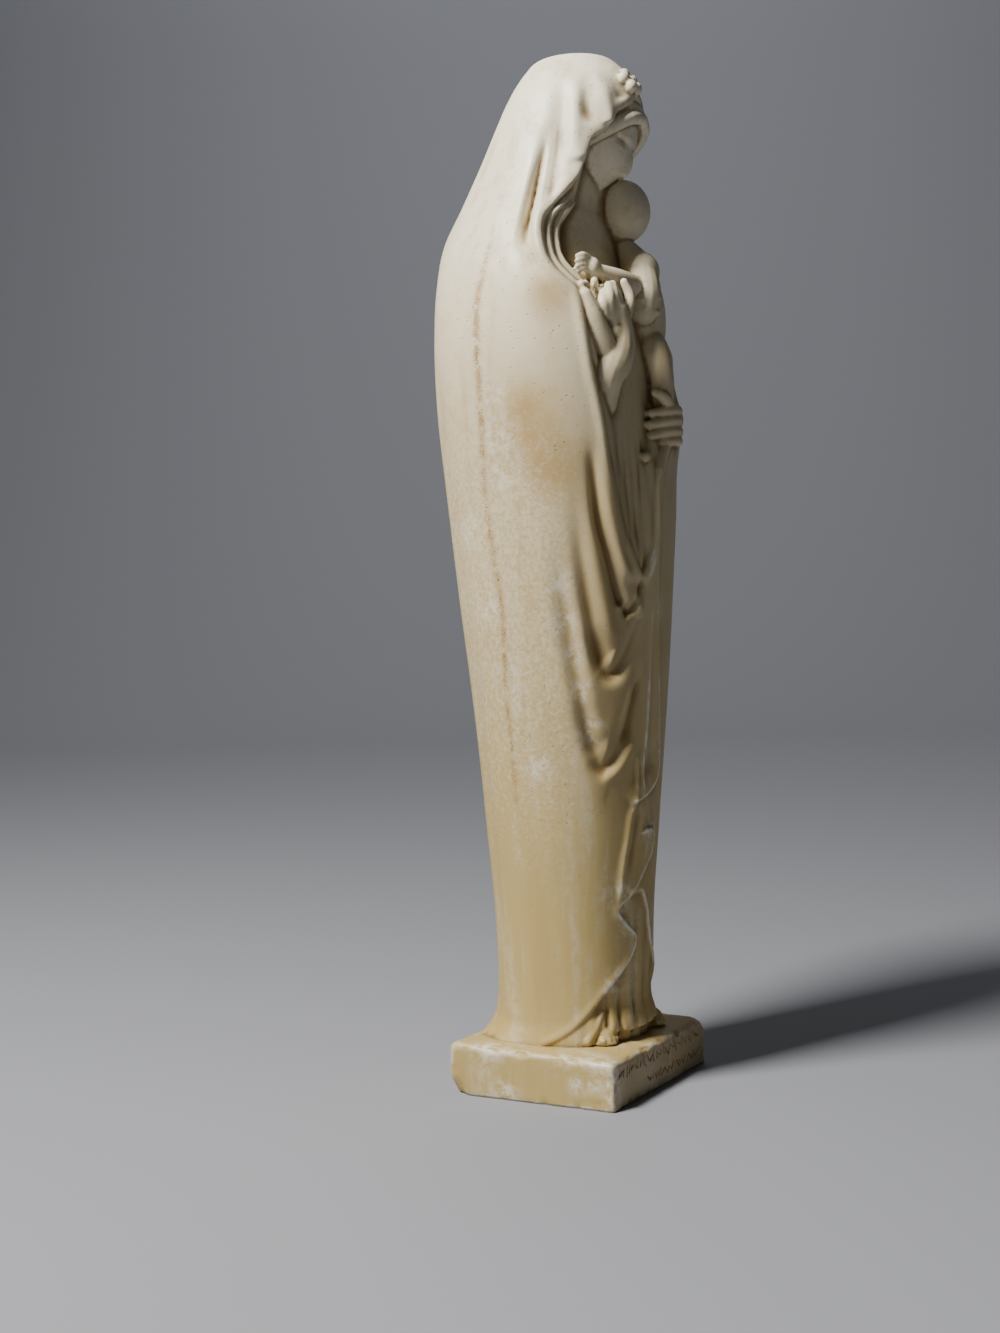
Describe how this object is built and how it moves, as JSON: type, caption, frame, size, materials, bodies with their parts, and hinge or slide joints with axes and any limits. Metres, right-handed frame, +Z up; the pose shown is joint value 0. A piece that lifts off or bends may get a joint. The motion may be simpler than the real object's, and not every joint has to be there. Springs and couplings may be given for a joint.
{
  "type": "virgin and child statue",
  "caption": "Standing cast plaster virgin and child statue, a tall draped column on a low rectangular plinth, resting on its flat underside.",
  "frame": {"origin": "centre of the plinth's flat underside", "axes": "+Z up along the figure, the figure looks along -Y, +X is to her left"},
  "size_m": [0.094, 0.0855, 0.378],
  "materials": {
    "plaster": "satin ivory plaster with an ochre patina in the folds"
  },
  "bodies": {
    "root": {"virgin_and_child": "plaster"}
  },
  "joints": []
}
